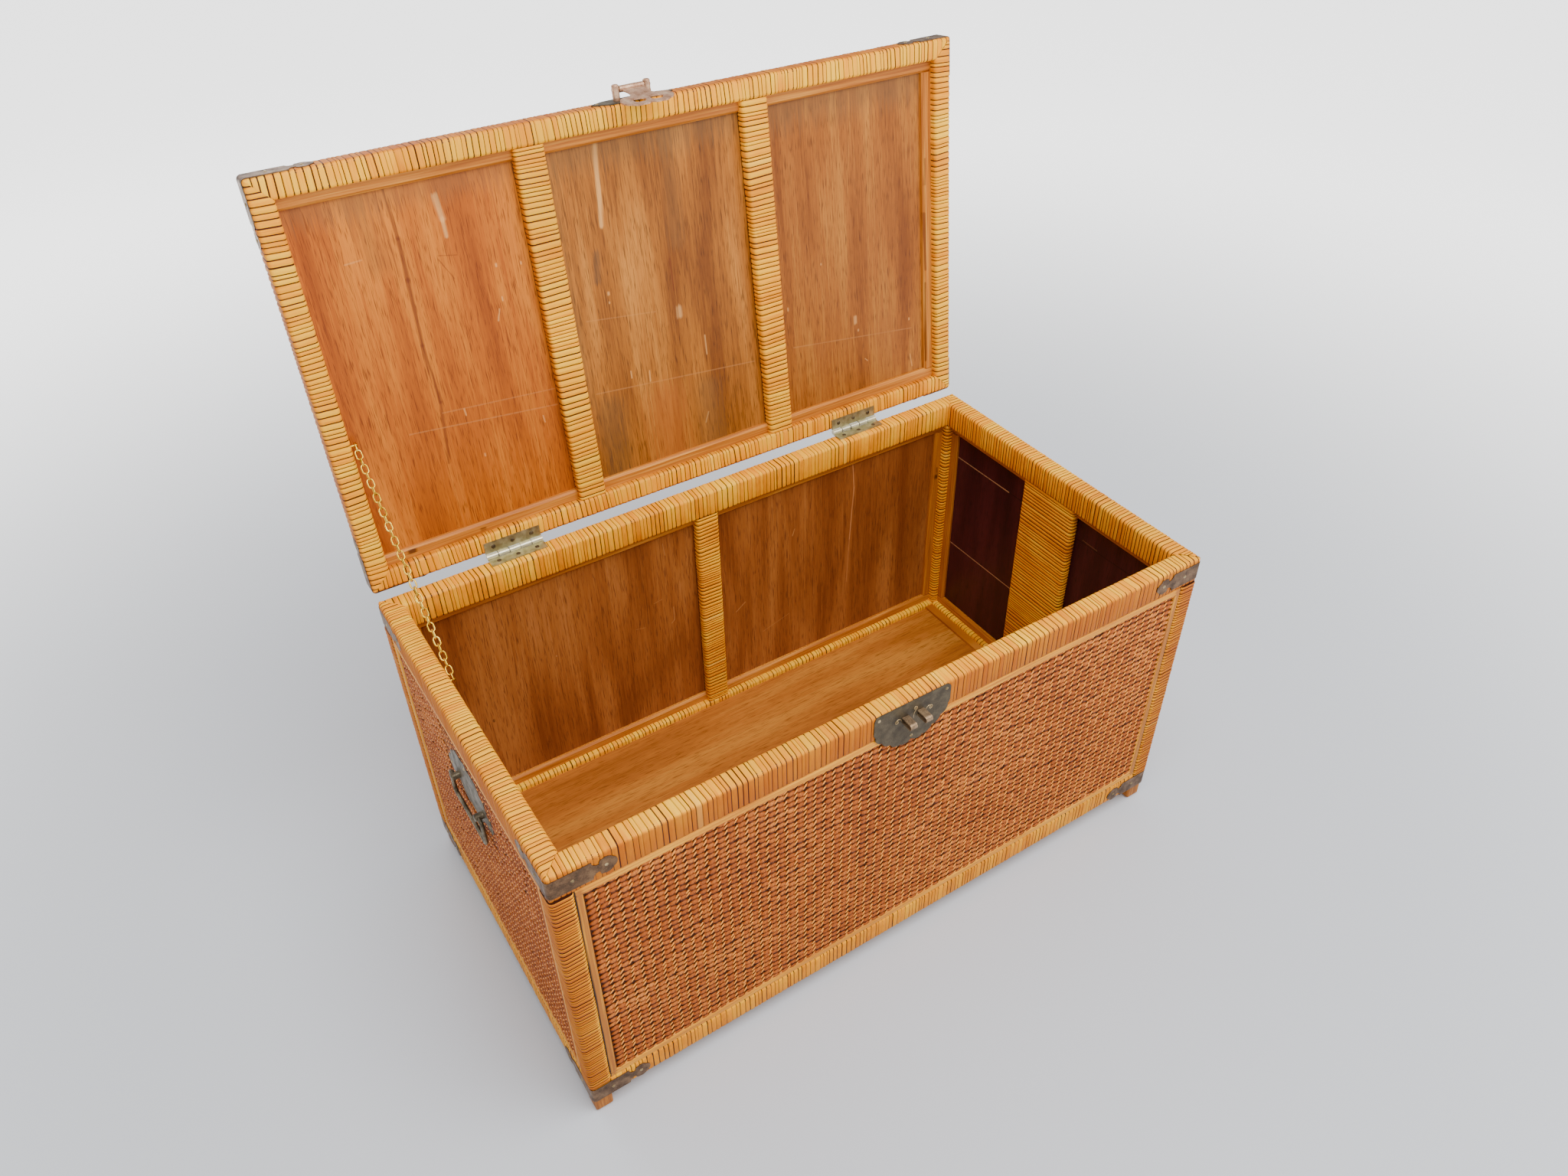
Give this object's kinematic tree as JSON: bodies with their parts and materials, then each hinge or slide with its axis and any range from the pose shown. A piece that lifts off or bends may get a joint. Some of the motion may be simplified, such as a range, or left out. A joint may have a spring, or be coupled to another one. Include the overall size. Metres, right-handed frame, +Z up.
{
  "type": "cane-bound trunk",
  "caption": "Rectangular storage trunk in cane-wrapped timber with woven cane panels, a hinged lid held open by a chain, bronze corner straps, a hasp lock and side bail handles.",
  "frame": {"origin": "centre of the open trunk's outline on the floor, under the feet", "axes": "+X along the front to the viewer's right, the front faces -Y, +Z up"},
  "size_m": [0.9178, 0.6052, 0.9639],
  "materials": {
    "cane_wrapped_timber": "glossy cane wrapping",
    "woven_cane": "lacquered weave",
    "plywood_lining": "worn varnish",
    "floor_board": "worn varnish",
    "beading_wood": "varnished",
    "moulding_wood": "varnished",
    "dark_bronze": "aged patina",
    "lock_bronze": "aged patina",
    "hasp_bronze": "aged patina",
    "aged_hinge_metal": "tarnished",
    "chain_brass": "bright"
  },
  "bodies": {
    "box": {"beading": "beading_wood", "bottom_rail_back": "cane_wrapped_timber", "bottom_rail_front": "cane_wrapped_timber", "bottom_rail_left": "cane_wrapped_timber", "bottom_rail_right": "cane_wrapped_timber", "box_nails": "dark_bronze", "cane_back": "woven_cane", "cane_front": "woven_cane", "cane_left": "woven_cane", "cane_right": "woven_cane", "chain_screw_box": "chain_brass", "corner_straps": "dark_bronze", "floor_panel": "floor_board", "handle_plates": "dark_bronze", "handle_posts": "dark_bronze", "hinge_leaves_box": "aged_hinge_metal", "hinge_pins": "aged_hinge_metal", "hinge_screws_box": "aged_hinge_metal", "inner_moulding": "moulding_wood", "lining_back": "plywood_lining", "lining_front": "plywood_lining", "lining_left": "plywood_lining", "lining_right": "plywood_lining", "lock_plate": "lock_bronze", "lock_staples": "lock_bronze", "post_back_left": "cane_wrapped_timber", "post_back_right": "cane_wrapped_timber", "post_front_left": "cane_wrapped_timber", "post_front_right": "cane_wrapped_timber", "side_stiles": "cane_wrapped_timber", "stile_back": "cane_wrapped_timber", "stile_front": "cane_wrapped_timber", "top_rail_back": "cane_wrapped_timber", "top_rail_front": "cane_wrapped_timber", "top_rail_left": "cane_wrapped_timber", "top_rail_right": "cane_wrapped_timber"},
    "lid": {"chain_screw_lid": "chain_brass", "hasp_back_plate": "hasp_bronze", "hasp_pin": "hasp_bronze", "hasp_posts": "hasp_bronze", "hinge_leaves_lid": "aged_hinge_metal", "hinge_screws_lid": "aged_hinge_metal", "lid_beading": "beading_wood", "lid_cane": "woven_cane", "lid_corner_straps": "dark_bronze", "lid_moulding": "moulding_wood", "lid_nails": "dark_bronze", "lid_panel_left": "plywood_lining", "lid_panel_middle": "plywood_lining", "lid_panel_right": "plywood_lining", "lid_rail_back": "cane_wrapped_timber", "lid_rail_front": "cane_wrapped_timber", "lid_rail_left": "cane_wrapped_timber", "lid_rail_right": "cane_wrapped_timber", "lid_stiles": "cane_wrapped_timber"},
    "bail_left": {"bail_left": "dark_bronze"},
    "bail_right": {"bail_right": "dark_bronze"},
    "chain_lower": {"chain_lower": "chain_brass"},
    "chain_upper": {"chain_upper": "chain_brass"},
    "hasp": {"hasp": "hasp_bronze"}
  },
  "joints": [
    {"name": "lid_hinge", "type": "hinge", "parent": "box", "child": "lid", "pos_m": [0, 0.21575, 0.45], "axis": [-1, 0, 0], "range_deg": [-96.7, 0]},
    {"name": "chain_lower_swing", "type": "hinge", "parent": "box", "child": "chain_lower", "pos_m": [-0.4194, 0.04375, 0.433], "axis": [-1, 0, 0], "range_deg": [0, 136.06]},
    {"name": "chain_upper_swing", "type": "hinge", "parent": "lid", "child": "chain_upper", "pos_m": [-0.4194, 0.24625, 0.64276], "axis": [-1, 0, 0], "range_deg": [0, 52.76]},
    {"name": "hasp_lift", "type": "hinge", "parent": "lid", "child": "hasp", "pos_m": [-0.009, 0.2905, 0.95775], "axis": [-1, 0, 0], "range_deg": [0, 120]},
    {"name": "bail_left_swing", "type": "hinge", "parent": "box", "child": "bail_left", "pos_m": [-0.4546, -0.03625, 0.331], "axis": [0, 1, 0], "range_deg": [0, 95]},
    {"name": "bail_right_swing", "type": "hinge", "parent": "box", "child": "bail_right", "pos_m": [0.4546, -0.03625, 0.331], "axis": [0, -1, 0], "range_deg": [0, 95]}
  ],
  "couplings": [
    {"joint": "chain_lower_swing", "follows": "lid_hinge", "ratio": -1.4065},
    {"joint": "chain_upper_swing", "follows": "lid_hinge", "ratio": -0.54508}
  ]
}
